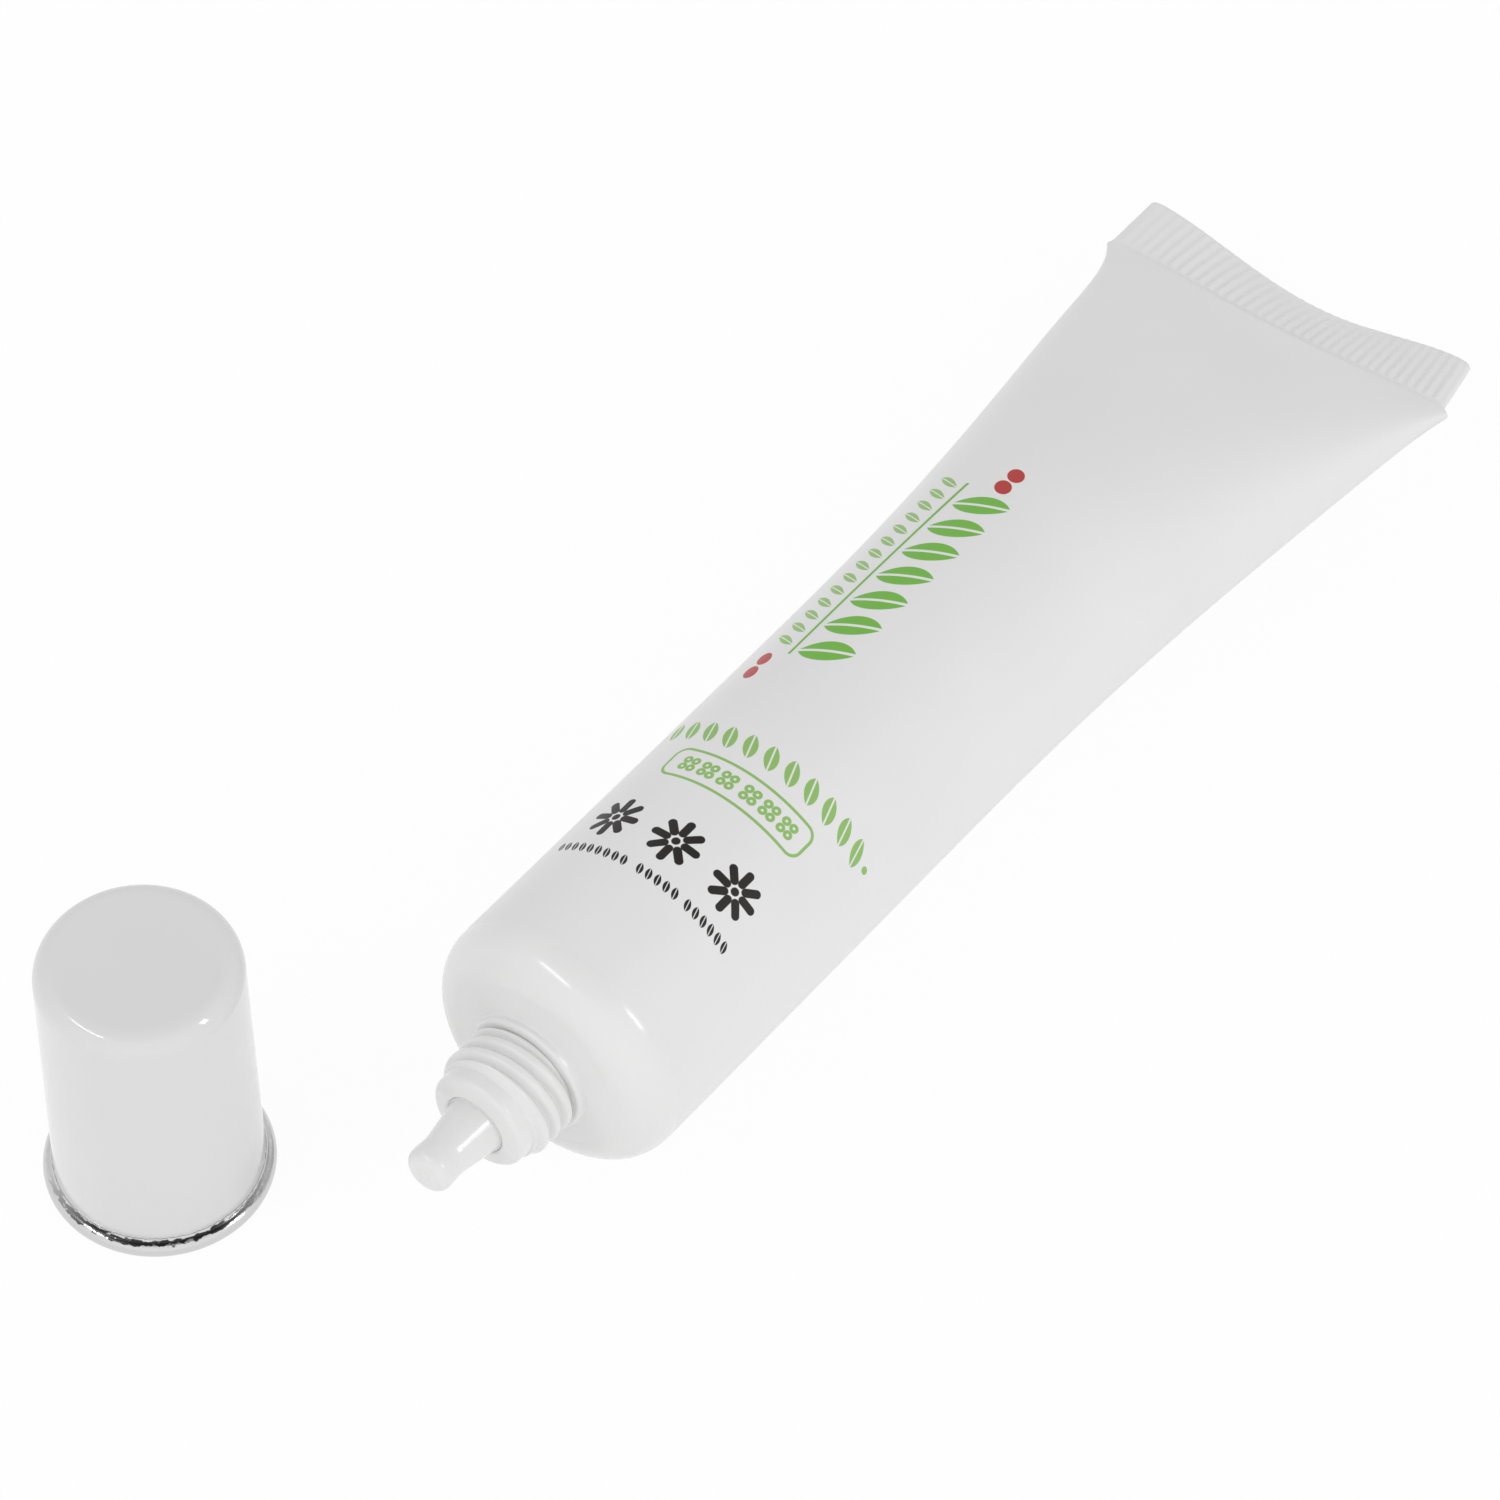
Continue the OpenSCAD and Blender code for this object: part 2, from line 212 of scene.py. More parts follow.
class StageSizes(bpy.types.PropertyGroup):
    """Camera, lamps and floor"""

    azimuth: degrees("Azimuth", "Side from which the camera looks", -52.48)
    elevation: degrees("Elevation", "Height of the camera's view", 52.25)
    camera_roll: degrees("Camera roll", "Turn of the picture", 0.256)
    distance: length("Distance", "From the camera to the point it aims at", 556.2 * MM)
    focal: number("Focal length", "In millimetres on a 36 mm sensor", 165.53)
    aim_behind: length("Aim behind", "Aim on the table, from the shoulder tailwards", 38.19 * MM)
    aim_aside: length("Aim aside", "Aim on the table, from the axis capwards", 11.77 * MM)
    floor: colour("Floor", "Colour of the floor", (0.93, 0.93, 0.93))
    floor_glow: number("Floor glow", "Share of plain white in the seen floor", 0.95)
    lamp_power: number("Lamp power", "Watts of each strip lamp", 0.6)
    sky_low: number("Low sky", "Light from the sides", 0.97)
    sky_high: number("High sky", "Light from the dark opening overhead", 0.33)
    sky_front: number("Front share", "Extra light from the camera's side", 0.14)
    opening_from: degrees("Opening from", "Elevation where the dark opening begins", 48)
    opening_full: degrees("Opening full", "Elevation above which it is fully dark", 62)


def sizes(group):
    """The scene's property group of that name."""
    return getattr(bpy.context.scene, f"cream_tube_{group}")


def front_of_land(head):
    """Distance from the weld of sleeve and head to the nozzle's foot."""
    neck = head.shoulder_radius + head.shoulder_rise + head.ring_height
    return neck + head.thread_length + head.land_length


def tube_matrix():
    """Turns the tube's own axes, X towards the tail and Z up, to where the tube lies."""
    head = sizes("head")
    land = mount("neck_land")
    axis = Vector(land["axis"])
    land_middle = front_of_land(head) - head.land_edge - (head.land_length - head.land_edge) / 2
    weld = Vector(land["pos_m"]) - axis * land_middle
    tilt = Matrix.Rotation(math.asin(axis.z), 4, "Y")
    return Matrix.Translation(weld) @ tilt @ Matrix.Rotation(sizes("sleeve").roll, 4, "X")


def head_matrix():
    """Turns a profile's own axes, Z towards the nozzle, to where the head lies."""
    return tube_matrix() @ Matrix.Rotation(math.radians(-90), 4, "Y")


def cap_matrix():
    """Moves a profile round the Z axis to where the cap stands."""
    x, y, _ = mount("cap_socket")["pos_m"]
    return Matrix.Translation((x, y, 0))


def smoothstep(x):
    """Zero below 0, one above 1, and a soft step between."""
    x = min(1, max(0, x))
    return x * x * (3 - 2 * x)


def crowding(start, span, steps):
    """Places that crowd together towards the end of a span, which isn't among them."""
    return [start + span * math.sin(math.pi / 2 * i / steps) for i in range(steps)]


class SleeveForm:
    """The skin of the sleeve, station by station from the shoulder to the fin's free edge."""

    def __init__(self, size):
        self.size = size
        self.radius = size.diameter / 2
        self.face = (size.ribs + 1) * RIB_POINTS
        self.around = 2 * self.face
        self.fold_half = self.half_width(size.length)

    def taper(self, s):
        """Share of the taper that lies behind a station."""
        start = self.size.round_length
        return min(1, max(0, (s - start) / (self.size.length - start)))

    def half_thickness(self, s):
        """Half the thickness of a section at its middle."""
        thin = self.size.fold / 2
        return self.radius - (self.radius - thin) * self.taper(s) ** self.size.fullness

    def across(self, k):
        """Even steps from one side at +1 to the other at -1 and back."""
        k %= self.around
        return 1 - 2 * min(k, self.around - k) / self.face

    def side(self, k):
        """Upper face, lower face, or the edge between them."""
        k %= self.around
        return 0 if k in (0, self.face) else (1 if k < self.face else -1)

    def oval(self, s, half):
        """Section before it sags: an ellipse, with fuller ends and even steps near the fold."""
        even = self.taper(s) ** 3
        thick = self.half_thickness(s)
        power = 2 + 2 * even
        points = []
        for k in range(self.around):
            share = (1 - even) * math.cos(math.pi * k / self.face) + even * self.across(k)
            height = thick * max(0, 1 - abs(share) ** power) ** (1 / power)
            points.append((half * share, self.side(k) * height))
        return points

    def half_width(self, s):
        """Half width at which a station keeps the girth of the round end."""
        half = self.radius
        for _ in range(6):
            points = self.oval(s, half)
            girth = sum(math.dist(points[k - 1], points[k]) for k in range(self.around))
            half *= 2 * math.pi * self.radius / girth
        return half * (1 + self.size.fold_stretch * self.taper(s) ** 3)

    def middle(self, share, s):
        """Height of the sleeve's middle plane."""
        size = self.size
        lift = size.fin_lift * min(1, s / size.length) ** 3
        run = max(0, (s - size.length + size.sag_run) / (size.sag_run + size.fin_length))
        return lift - size.fin_sag * (1 - share * share) ** 2 * run**3

    def body(self, s):
        """Section of the filled sleeve."""
        size = self.size
        from_fold = (size.length - s) / size.pinch_run
        draw_in = from_fold * math.exp(1 - from_fold) * self.taper(s)
        wide = self.half_width(s)
        points = []
        for y, z in self.oval(s, wide):
            depth = (size.pinch if y > 0 else size.pinch_near) * smoothstep(abs(y) / wide)
            points.append((y - math.copysign(depth * draw_in, y), z + self.middle(y / wide, s)))
        return points

    def rib(self, k):
        """Share of their height that the ribs have at a point of the fin's outline."""
        k %= self.around
        steps = min(k, self.around - k) / RIB_POINTS - 0.5
        faint = 0.45 + 0.55 * smoothstep(steps / 6)
        return faint * math.sin(math.pi * steps) ** 2 if 0 < steps < self.size.ribs else 0

    def fin(self, behind):
        """Section of the welded fin, at a distance behind the fold."""
        size = self.size
        to_edge = size.fin_length - behind
        into_corner = max(0, size.fin_corner - to_edge)
        corner = size.fin_corner - math.sqrt(max(0, size.fin_corner**2 - into_corner**2))
        risen = math.sqrt(smoothstep((behind - size.rib_start) / RIB_RISE))
        run_out = smoothstep((to_edge + RIB_PAST) / RIB_END)
        rise = risen * (1 - 0.5 * behind / size.fin_length) * run_out
        edge_soft = 0.75 + 0.25 * smoothstep(to_edge / EDGE_THIN)
        askew = size.fin_trim + size.fin_askew * behind / size.fin_length
        points = []
        for k in range(self.around):
            share = self.across(k)
            half = self.fold_half - corner - (askew if share < 0 else size.fin_trim_far)
            from_side = (1 - abs(share)) * half
            round_off = math.sqrt(max(0, 1 - max(0, 1 - from_side / SIDE_ROUND) ** 2))
            wall = size.fin_thickness / 2 * edge_soft * round_off
            height = wall + size.rib_height * rise * self.rib(k)
            middle = self.middle(share, size.length + behind)
            points.append((share * half, self.side(k) * height + middle))
        return points

    def section(self, s):
        """Section at a station anywhere along the sleeve."""
        behind = s - self.size.length
        if behind <= 0:
            return self.body(s)
        if behind >= self.size.rib_start:
            return self.fin(behind)
        along = behind / self.size.rib_start
        narrow = smoothstep(along) ** 0.8
        thin = smoothstep(1.6 * along - 0.3)
        pairs = zip(self.body(self.size.length), self.fin(self.size.rib_start))
        return [(a[0] + (b[0] - a[0]) * narrow, a[1] + (b[1] - a[1]) * thin) for a, b in pairs]

    def slanted(self, k, s):
        """Place along the tube once the free edge's askew end is cut short."""
        behind = max(0, s - self.size.length) / self.size.fin_length
        return s - self.size.fin_slant * behind * max(0, -0.4 - self.across(k)) / 0.6

    def stations(self):
        """Places of the sections, close together where the form changes fast."""
        size = self.size
        fin_from = size.length + size.rib_start
        run_from = fin_from + RIB_RISE
        run_length = size.fin_length - size.rib_start - RIB_RISE
        places = [size.round_length * i / 8 for i in range(8)]
        places += crowding(size.round_length, size.length - size.round_length, 60)
        places += crowding(size.length, size.rib_start, 8)
        places += [fin_from + RIB_RISE * i / 8 for i in range(8)]
        return places + crowding(run_from, run_length, 18) + [run_from + run_length]

    def arcs(self, points):
        """Distance round the section from the middle of the upper face, positive towards -Y."""
        arc = [0.0]
        for k in range(self.around):
            arc.append(arc[-1] + math.dist(points[k], points[(k + 1) % self.around]))
        top = arc[self.face // 2]
        return [a - top for a in arc]


def add_object(name, data):
    """A new object in the scene."""
    thing = bpy.data.objects.new(name, data)
    bpy.context.scene.collection.objects.link(thing)
    return thing


def new_piece(name, bm, matrix, node, material):
    """Turns a bmesh into a finished piece that rides on the root and stands for a CAD node."""
    bmesh.ops.remove_doubles(bm, verts=bm.verts, dist=1e-7)
    bmesh.ops.dissolve_degenerate(bm, edges=bm.edges, dist=1e-8)
    bmesh.ops.recalc_face_normals(bm, faces=bm.faces)
    bmesh.ops.transform(bm, matrix=matrix, verts=bm.verts)
    if bm.calc_volume(signed=True) < 0:
        bmesh.ops.reverse_faces(bm, faces=bm.faces)
    for face in bm.faces:
        face.smooth = True
    mesh = bpy.data.meshes.new(name)
    bm.to_mesh(mesh)
    bm.free()
    mesh.set_sharp_from_angle(angle=SHARP_ANGLE)
    mesh.materials.append(material)
    piece = add_object(name, mesh)
    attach(piece, "root")
    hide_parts(node)
    return piece


def turn(profile):
    """Spins a closed or pole-to-pole profile of (radius, height) points round the Z axis."""
    bm = bmesh.new()
    verts = [bm.verts.new((r, 0, z)) for r, z in profile]
    edges = [bm.edges.new(pair) for pair in zip(verts, verts[1:])]
    if profile[0][0] > 0:
        edges.append(bm.edges.new((verts[-1], verts[0])))
    bmesh.ops.spin(
        bm,
        geom=verts + edges,
        cent=(0, 0, 0),
        axis=(0, 0, 1),
        angle=math.tau,
        steps=TURN_STEPS,
        use_merge=True,
    )
    return bm


def arc(r, z, radius, start, end, steps=10):
    """Points of a round corner, from one angle in degrees to another."""
    angles = [math.radians(start + (end - start) * i / steps) for i in range(steps + 1)]
    return [(r + radius * math.cos(a), z + radius * math.sin(a)) for a in angles]


def line(a, b, steps):
    """Points from a up to, but not including, b."""
    run, rise = b[0] - a[0], b[1] - a[1]
    return [(a[0] + run * i / steps, a[1] + rise * i / steps) for i in range(steps)]


def build_sleeve_mesh():
    """A grid wrapped round the stations, closed at the shoulder and along the fin's free edge."""
    form = SleeveForm(sizes("sleeve"))
    stations = form.stations()
    rows = [(stations[0], [(0, form.middle(0, 0))] * form.around)]
    rows += [(s, form.section(s)) for s in stations]
    end = stations[-1]
    closed = [(y, form.middle(form.across(k), end)) for k, (y, _) in enumerate(rows[-1][1])]
    rows.append((end, closed))
    arcs = [form.arcs(points) for _, points in rows]

    bm = bmesh.new()
    place = bm.loops.layers.uv.new("skin")
    last = len(rows) - 1
    bmesh.ops.create_grid(bm, x_segments=form.around, y_segments=last, size=1, calc_uvs=True)
    for vert in bm.verts:
        k = round((vert.co.x + 1) / 2 * form.around)
        s, points = rows[round((vert.co.y + 1) / 2 * last)]
        vert.co = (form.slanted(k, s), *points[k % form.around])
    for face in bm.faces:
        for loop in face.loops:
            u, v = loop[place].uv
            row = round(v * last)
            loop[place].uv = (rows[row][0], arcs[row][round(u * form.around)])
    return bm


def thread_lift(angle, z, head):
    """Share of the thread's height at a place on the neck: broad crests, narrow grooves."""
    turns = z / head.thread_pitch - head.thread_starts * angle / math.tau
    run_out = max(0, min(1, z / NECK_FADE, (head.thread_length - z) / NECK_FADE))
    return (1 - math.sin(math.pi * turns) ** 4) * run_out


def build_head_mesh():
    """Shoulder, neck and nozzle turned in one, with the thread raised on the neck."""
    head = sizes("head")
    tube_r = sizes("sleeve").diameter / 2
    centre = tube_r - head.shoulder_radius
    ring_r = head.ring_diameter / 2
    cone_top = head.shoulder_radius + head.shoulder_rise
    neck_z = cone_top + head.ring_height
    land_z = neck_z + head.thread_length
    front_z = front_of_land(head)
    tip_z = front_z + head.nozzle_length
    core_r = head.neck_diameter / 2
    land_r = head.land_diameter / 2
    foot_r = head.nozzle_foot / 2
    tip_r = head.nozzle_tip / 2
    waist_r = head.nozzle_waist / 2
    tip_edge = 0.85 * MM
    ring_edge = 0.35 * MM
    ring_foot = 0.25 * MM
    land_foot = 0.1 * MM
    moat_lip = 0.2 * MM
    moat_z = front_z - head.moat_depth

    profile = [(0, 0)]
    profile += line((tube_r * 0.5, 0), (tube_r, 0), 3)
    profile += arc(centre, 0, head.shoulder_radius, 0, 90, 24)
    profile += arc(ring_r + ring_foot, cone_top + ring_foot, ring_foot, 262, 185, 6)
    profile += arc(ring_r - ring_edge, neck_z - ring_edge, ring_edge, 10, 85, 8)
    profile += line((core_r, neck_z), (core_r, land_z), 66)
    profile += arc(land_r + land_foot, land_z + 1.2 * land_foot, land_foot, 250, 180, 4)
    lip_z = front_z - head.land_slope - head.land_edge
    profile += arc(land_r - head.land_edge, lip_z, head.land_edge, 0, 75, 12)
    moat_r = foot_r + head.moat_width
    profile += arc(moat_r + moat_lip, front_z - moat_lip, moat_lip, 75, 170, 8)
    profile += arc(foot_r + head.moat_width / 2, moat_z, head.moat_width / 2, 340, 200, 6)
    waist_z = tip_z - 2.3 * MM
    swell_z = waist_z - 0.6 * MM
    bulge_z = tip_z - 1.1 * MM
    steps = 22
    for i in range(1, steps):
        z = moat_z + (bulge_z - moat_z) * i / steps
        cone = foot_r + (waist_r - foot_r) * min(1, (z - moat_z) / (waist_z - moat_z))
        swell = (tip_r - waist_r) * smoothstep((z - swell_z) / (bulge_z - swell_z))
        profile.append((cone + swell, z))
    profile += arc(tip_r - tip_edge, tip_z - tip_edge, tip_edge, 0, 85, 14)
    ring = head.gate_radius
    sink = head.gate_height
    profile += [(ring * 1.5, tip_z), (ring * 1.25, tip_z - sink * 0.3), (ring, tip_z - sink)]
    profile += [(ring * 0.8, tip_z - sink * 0.6), (ring * 0.55, tip_z - sink * 0.2), (0, tip_z)]

    bm = turn(profile)
    for vert in bm.verts:
        radius = math.hypot(vert.co.x, vert.co.y)
        z = vert.co.z - neck_z
        if 0 < z < head.thread_length and abs(radius - core_r) < ON_WALL:
            lift = thread_lift(math.atan2(vert.co.y, vert.co.x), z, head)
            grown = (radius + head.thread_height * lift) / radius
            vert.co.x *= grown
            vert.co.y *= grown
    return bm


def build_cap_mesh():
    """Outer wall, rolled top edge, rim bead and the socket tower inside, turned in one."""
    cap = sizes("cap")
    socket = mount("cap_socket")["dims"]
    bore_r = socket["r_mm"] * MM
    seat_z = cap.socket_setback + socket["length_mm"] * MM
    foot_r = cap.foot_diameter / 2
    top_r = cap.top_diameter / 2
    inner_r = foot_r - cap.wall
    edge_z = cap.height - cap.crown - cap.edge
    roof_z = edge_z - cap.wall
    socket_r = bore_r + cap.socket_wall
    tower_r = cap.chamber + cap.socket_wall
    step_z = seat_z + cap.socket_wall
    crown = top_r - cap.edge
    soft = 0.15 * MM

    slope = math.degrees(math.atan2(4 * cap.crown, crown))
    profile = [(crown * i / 12, cap.height - cap.crown * (i / 12) ** 4) for i in range(12)]
    profile += arc(crown, edge_z, cap.edge, 90 - slope / 2, 0, 24)
    profile += line((top_r, edge_z), (foot_r, cap.foil_height), 12)[1:]
    profile += [(foot_r, cap.foil_height), (foot_r, 2 * cap.bead + soft)]
    profile += arc(foot_r, cap.bead, cap.bead, 80, -90, 18)
    profile += [(inner_r + soft, 0), (inner_r, soft), (inner_r, cap.foil_height)]
    profile += [(top_r - cap.wall, roof_z - soft), (top_r - cap.wall - soft, roof_z)]
    profile += [(tower_r + soft, roof_z), (tower_r, roof_z - soft)]
    profile += [(tower_r, step_z), (socket_r, step_z)]
    mouth_z = cap.socket_setback
    profile += [(socket_r, mouth_z + soft), (socket_r - soft, mouth_z), (bore_r + soft, mouth_z)]
    profile += line((bore_r, mouth_z + soft), (bore_r, seat_z), 60)
    profile += [(bore_r, seat_z), (cap.chamber + soft, seat_z), (cap.chamber, seat_z + soft)]
    chamber_z = cap.height - cap.crown - cap.wall
    profile += [(cap.chamber, chamber_z - soft), (cap.chamber - soft, chamber_z), (0, chamber_z)]

    bm = turn(profile)
    head = sizes("head")
    for vert in bm.verts:
        radius = math.hypot(vert.co.x, vert.co.y)
        z = vert.co.z - mouth_z - soft
        if z > 0 and vert.co.z < seat_z - soft and abs(radius - bore_r) < ON_WALL:
            angle = math.atan2(vert.co.y, vert.co.x)
            turns = z / head.thread_pitch + head.thread_starts * angle / math.tau
            ridge = cap.ridge * math.sin(math.pi * turns) ** 4 * smoothstep(z / SOCKET_FADE)
            ridge *= smoothstep((seat_z - vert.co.z) / SOCKET_FADE)
            vert.co.x *= (radius - ridge) / radius
            vert.co.y *= (radius - ridge) / radius
    return bm


def build_foil_mesh():
    """Thin foil drawn over the bead and a little way up the wall, torn along its upper edge."""
    cap = sizes("cap")
    foot_r = cap.foot_diameter / 2
    outer = cap.bead + cap.foil
    low = math.degrees(math.asin(-0.5 * cap.bead / outer))
    fillet = cap.foil_fillet
    turn_angle = math.acos((fillet + cap.foil) / (outer + fillet))
    fillet_z = cap.bead + (outer + fillet) * math.sin(turn_angle)
    turned = math.degrees(turn_angle)
    profile = arc(foot_r, cap.bead, outer, low, turned, 24)
    profile += arc(foot_r + cap.foil + fillet, fillet_z, fillet, turned + 180, 180, 8)[1:]
    profile += [(foot_r + cap.foil, cap.foil_height), (foot_r, cap.foil_height), (foot_r, fillet_z)]
    profile += arc(foot_r, cap.bead, cap.bead, 88, math.degrees(math.asin(-0.5)), 20)
    bm = turn(profile)
    tear_from = cap.foil_height - 2 * cap.foil_tear
    for vert in bm.verts:
        angle = math.atan2(vert.co.y, vert.co.x)
        around = Vector((math.cos(angle), math.sin(angle), 0))
        share = smoothstep((vert.co.z - tear_from) / (cap.foil_height - tear_from))
        ragged = noise.fractal(around * 30, 0.7, 2.0, 4)
        vert.co.z -= cap.foil_tear * share * min(1, max(0, 0.45 + 0.8 * ragged))
    return bm


def feed(tree, slot, value):
    """Links a socket to an input, or gives the input a constant."""
    if isinstance(value, bpy.types.NodeSocket):
        tree.links.new(value, slot)
    else:
        slot.default_value = value


def put(tree, kind, *inputs, operation=None, output=0, **settings):
    """Adds a node, feeds its first inputs from sockets or constants, and returns an output."""
    node = tree.nodes.new(kind)
    if operation:
        node.operation = operation
    for key, value in settings.items():
        setattr(node, key, value)
    for slot, value in zip(node.inputs, inputs):
        feed(tree, slot, value)
    return node.outputs[output]


def calc(tree, operation, *inputs, clamp=False):
    """A Math node."""
    return put(tree, "ShaderNodeMath", *inputs, operation=operation, use_clamp=clamp)


def dot(tree, a, b):
    """Dot product of two vectors."""
    return put(tree, "ShaderNodeVectorMath", a, b, operation="DOT_PRODUCT", output="Value")


def group_tree(name, inputs, outputs):
    """A new shader node group; inputs give name, kind and default, outputs name and kind."""
    tree = bpy.data.node_groups.new(name, "ShaderNodeTree")
    for socket_name, kind, default in inputs:
        made = tree.interface.new_socket(socket_name, in_out="INPUT", socket_type=kind)
        made.default_value = default
    for socket_name, kind in outputs:
        tree.interface.new_socket(socket_name, in_out="OUTPUT", socket_type=kind)
    entry = tree.nodes.new("NodeGroupInput")
    leave = tree.nodes.new("NodeGroupOutput")
    return tree, entry.outputs, leave.inputs


def use_group(tree, group, **inputs):
    """Places a node group and returns its outputs."""
    node = tree.nodes.new("ShaderNodeGroup")
    node.node_tree = group
    for name, value in inputs.items():
        feed(tree, node.inputs[name.capitalize()], value)
    return node.outputs


VALUE = "NodeSocketFloat"
VECTOR = "NodeSocketVector"
ORIGIN = (0, 0, 0)


def row_group():
    """Folds a row of equal marks into one: the place as seen from the nearest mark's middle."""
    tree, entry, leave = group_tree(
        "Row of marks",
        [("Place", VECTOR, ORIGIN), ("First", VECTOR, ORIGIN),
         ("Step", VALUE, 1.0), ("Last", VALUE, 0.0)],
        [("Local", VECTOR)],
    )
    offset = put(tree, "ShaderNodeVectorMath", entry["Place"], entry["First"], operation="SUBTRACT")
    split = put(tree, "ShaderNodeSeparateXYZ", offset).node
    index = calc(tree, "ROUND", calc(tree, "DIVIDE", split.outputs["X"], entry["Step"]))
    index = calc(tree, "MINIMUM", calc(tree, "MAXIMUM", index, 0.0), entry["Last"])
    along = calc(tree, "SUBTRACT", split.outputs["X"], calc(tree, "MULTIPLY", index, entry["Step"]))
    tree.links.new(put(tree, "ShaderNodeCombineXYZ", along, split.outputs["Y"]), leave["Local"])
    return tree


def mark_group(name, distance):
    """A mark's group; distance(tree, x, y, along, across) gives how far outside a place lies."""
    tree, entry, leave = group_tree(
        name,
        [("Local", VECTOR, ORIGIN), ("Along", VALUE, 1.0),
         ("Across", VALUE, 1.0), ("Lean", VALUE, 0.0)],
        [("Ink", VALUE)],
    )
    split = put(tree, "ShaderNodeSeparateXYZ", entry["Local"]).node
    leant = calc(tree, "MULTIPLY_ADD", split.outputs["Y"], entry["Lean"], split.outputs["X"])
    x = calc(tree, "ABSOLUTE", leant)
    y = calc(tree, "ABSOLUTE", split.outputs["Y"])
    outside = distance(tree, x, y, entry["Along"], entry["Across"])
    ink = calc(tree, "MULTIPLY_ADD", outside, -1 / INK_EDGE, 0.5, clamp=True)
    tree.links.new(ink, leave["Ink"])
    return tree


def hypotenuse(tree, x, y):
    """Length of a vector of two values."""
    return calc(tree, "SQRT", squares(tree, x, y))


def squares(tree, x, y):
    """Sum of the squares of two values."""
    return calc(tree, "ADD", calc(tree, "MULTIPLY", x, x), calc(tree, "MULTIPLY", y, y))


def beyond(tree, value, limit):
    """How far a value lies beyond a limit, and zero before it."""
    return calc(tree, "MAXIMUM", calc(tree, "SUBTRACT", value, limit), 0.0)


def dot_distance(tree, x, y, along, across):
    """Round dot of that half length."""
    return calc(tree, "SUBTRACT", hypotenuse(tree, x, y), along)


def bar_distance(tree, x, y, along, across):
    """Bar with round ends."""
    straight = beyond(tree, x, calc(tree, "SUBTRACT", along, across))
    return calc(tree, "SUBTRACT", hypotenuse(tree, straight, y), across)


def frame_distance(tree, x, y, along, across):
    """Outline of a bar with well rounded corners."""
    corner = 0.95 * MM
    half_line = 0.13 * MM
    in_x = calc(tree, "SUBTRACT", x, calc(tree, "SUBTRACT", along, corner))
    in_y = calc(tree, "SUBTRACT", y, calc(tree, "SUBTRACT", across, corner))
    far = hypotenuse(tree, calc(tree, "MAXIMUM", in_x, 0.0), calc(tree, "MAXIMUM", in_y, 0.0))
    near = calc(tree, "MINIMUM", calc(tree, "MAXIMUM", in_x, in_y), 0.0)
    edge = calc(tree, "SUBTRACT", calc(tree, "ADD", far, near), corner)
    return calc(tree, "SUBTRACT", calc(tree, "ABSOLUTE", edge), half_line)


def daisy_distance(tree, x, y, along, across):
    """Eight round-ended petals and a dot, like a daisy seen from above."""
    radius = hypotenuse(tree, x, y)
    angle = calc(tree, "ARCTAN2", y, x)
    nearest = calc(tree, "SNAP", calc(tree, "ADD", angle, math.pi / 8), math.pi / 4)
    turned = calc(tree, "SUBTRACT", angle, nearest)
    out = calc(tree, "MULTIPLY", radius, calc(tree, "COSINE", turned))
    aside = calc(tree, "MULTIPLY", radius, calc(tree, "SINE", turned))
    past_middle = calc(tree, "SUBTRACT", out, calc(tree, "MULTIPLY", along, 0.62))
    from_middle = calc(tree, "ABSOLUTE", past_middle)
    straight = beyond(tree, from_middle, calc(tree, "MULTIPLY", along, 0.22))
    petal = calc(tree, "SUBTRACT", hypotenuse(tree, straight, aside), across)
    return calc(tree, "MINIMUM", petal, calc(tree, "SUBTRACT", radius, across))


def leaf_distance(tree, x, y, along, across):
    """Pointed leaf, long across the row, with a fine vein left bare."""
    bow = calc(tree, "DIVIDE", squares(tree, along, across), calc(tree, "MULTIPLY", along, 2.0))
    shifted = calc(tree, "ADD", x, calc(tree, "SUBTRACT", bow, along))
    blade = calc(tree, "SUBTRACT", hypotenuse(tree, shifted, y), bow)
    vein = calc(tree, "MULTIPLY_ADD", x, -1.0, calc(tree, "MULTIPLY", along, 0.12))
    return calc(tree, "MAXIMUM", blade, vein)


def blossom_distance(tree, x, y, along, across):
    """Four round petals, each with an open middle."""
    half = calc(tree, "MULTIPLY", along, 0.5)
    petal = hypotenuse(tree, calc(tree, "SUBTRACT", x, half), calc(tree, "SUBTRACT", y, half))
    rim = calc(tree, "SUBTRACT", petal, half)
    return calc(tree, "MAXIMUM", rim, calc(tree, "SUBTRACT", across, petal))


